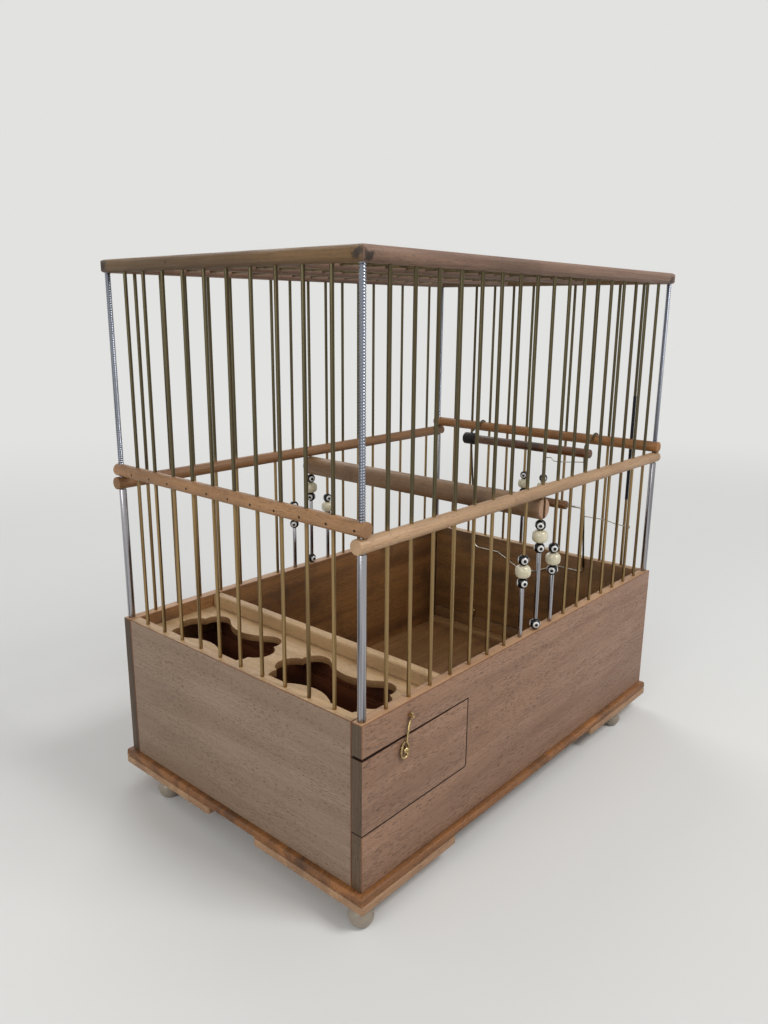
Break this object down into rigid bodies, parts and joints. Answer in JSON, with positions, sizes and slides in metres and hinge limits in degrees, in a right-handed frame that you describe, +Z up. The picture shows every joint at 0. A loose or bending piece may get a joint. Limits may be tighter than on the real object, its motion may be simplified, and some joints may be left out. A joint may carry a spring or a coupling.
{
  "type": "canary breeding cage",
  "caption": "Small free-standing wooden canary breeding cage with wire sides, a feed drawer under a pierced deck, a sand tray, bead-propped perch and a hanging rung frame.",
  "frame": {"origin": "on the surface that the feet stand on, under the middle of the cage", "axes": "+X along the long front side, away from the feed drawer end, +Y from the front with the drawer to the back, +Z up"},
  "size_m": [0.3136, 0.2036, 0.3158],
  "materials": {
    "board_beech": "planed beech boards, waxed, satin, with fine dark flecks",
    "pale_beech": "pale beech, unfinished, satin",
    "dowel_beech": "turned beech dowel, waxed",
    "dark_wood": "dark stained hardwood dowel",
    "brass": "drawn brass wire, dulled",
    "steel": "bright zinc-plated steel rod and wire",
    "cream_ball": "cream-painted wooden ball foot",
    "rubber": "black rubber cap",
    "bead_ivory": "ivory bead, polished",
    "bead_black": "black bead with a white ring and a black dot"
  },
  "bodies": {
    "cage": {"foot_front_left": "cream_ball", "corner_pad_front_left": "board_beech", "corner_post_front_left": "steel", "post_sleeve_front_left": "steel", "foot_front_right": "cream_ball", "corner_pad_front_right": "board_beech", "corner_post_front_right": "steel", "post_sleeve_front_right": "steel", "foot_back_left": "cream_ball", "corner_pad_back_left": "board_beech", "corner_post_back_left": "steel", "post_sleeve_back_left": "steel", "foot_back_right": "cream_ball", "corner_pad_back_right": "board_beech", "corner_post_back_right": "steel", "post_sleeve_back_right": "steel", "base_board": "board_beech", "front_board": "board_beech", "back_board": "board_beech", "left_end_board": "board_beech", "right_end_board": "board_beech", "feed_partition": "board_beech", "feed_deck": "pale_beech", "deck_batten": "pale_beech", "drawer_shelf": "pale_beech", "roof_rail_front": "dowel_beech", "roof_rail_back": "dowel_beech", "roof_rail_left": "dowel_beech", "roof_rail_right": "dowel_beech", "main_perch": "dowel_beech", "roof_grille": "brass", "front_grille": "brass", "back_grille": "brass", "left_grille": "brass", "right_grille": "brass", "drawer_latch_pin": "brass", "tray_latch_pin": "brass", "end_board_pin": "brass", "bead_stack_front_middle": "bead_ivory", "bead_stack_back_middle": "bead_ivory"},
    "feed_drawer": {"drawer_front": "board_beech", "drawer_tray": "pale_beech", "drawer_latch_screw": "brass"},
    "drawer_latch": {"drawer_latch_hook": "brass"},
    "sand_tray": {"tray_front": "board_beech", "tray_floor": "pale_beech", "tray_batten": "pale_beech", "tray_latch_screw": "brass"},
    "tray_latch": {"tray_latch_hook": "brass"},
    "beads_front_left": {"bead_stack_front_left": "bead_ivory"},
    "beads_front_right": {"bead_stack_front_right": "bead_ivory"},
    "beads_back_left": {"bead_stack_back_left": "bead_ivory"},
    "beads_back_right": {"bead_stack_back_right": "bead_ivory"},
    "beads_end_front": {"bead_stack_end_front": "bead_ivory"},
    "beads_end_back": {"bead_stack_end_back": "bead_ivory"},
    "hanging_perch": {"hanging_frame": "steel", "upper_rung": "dark_wood", "rung_cap": "rubber", "lower_rung": "dark_wood"}
  },
  "joints": [
    {"name": "feed_drawer_slide", "type": "slide", "parent": "cage", "child": "feed_drawer", "axis": [0, -1, 0], "range_m": [0, 0.15]},
    {"name": "drawer_latch_turn", "type": "hinge", "parent": "feed_drawer", "child": "drawer_latch", "pos_m": [-0.12417, -0.0984, 0.0849], "axis": [0, 1, 0], "range_deg": [0, 80]},
    {"name": "sand_tray_slide", "type": "slide", "parent": "cage", "child": "sand_tray", "axis": [1, 0, 0], "range_m": [0, 0.2]},
    {"name": "tray_latch_turn", "type": "hinge", "parent": "sand_tray", "child": "tray_latch", "pos_m": [0.1534, 0.03338, 0.0284], "axis": [-1, 0, 0], "range_deg": [0, 80]},
    {"name": "beads_front_left_slide", "type": "slide", "parent": "cage", "child": "beads_front_left", "axis": [0, 0, 1], "range_m": [0, 0.03]},
    {"name": "beads_front_right_slide", "type": "slide", "parent": "cage", "child": "beads_front_right", "axis": [0, 0, 1], "range_m": [0, 0.03]},
    {"name": "beads_back_left_slide", "type": "slide", "parent": "cage", "child": "beads_back_left", "axis": [0, 0, 1], "range_m": [0, 0.03]},
    {"name": "beads_back_right_slide", "type": "slide", "parent": "cage", "child": "beads_back_right", "axis": [0, 0, 1], "range_m": [0, 0.03]},
    {"name": "beads_end_front_slide", "type": "slide", "parent": "cage", "child": "beads_end_front", "axis": [0, 0, 1], "range_m": [0, 0.0275]},
    {"name": "beads_end_back_slide", "type": "slide", "parent": "cage", "child": "beads_end_back", "axis": [0, 0, 1], "range_m": [0, 0.0275]},
    {"name": "hanging_perch_swing", "type": "hinge", "parent": "cage", "child": "hanging_perch", "pos_m": [0.15, 0, 0.1993], "axis": [0, 1, 0], "range_deg": [0, 25]}
  ]
}
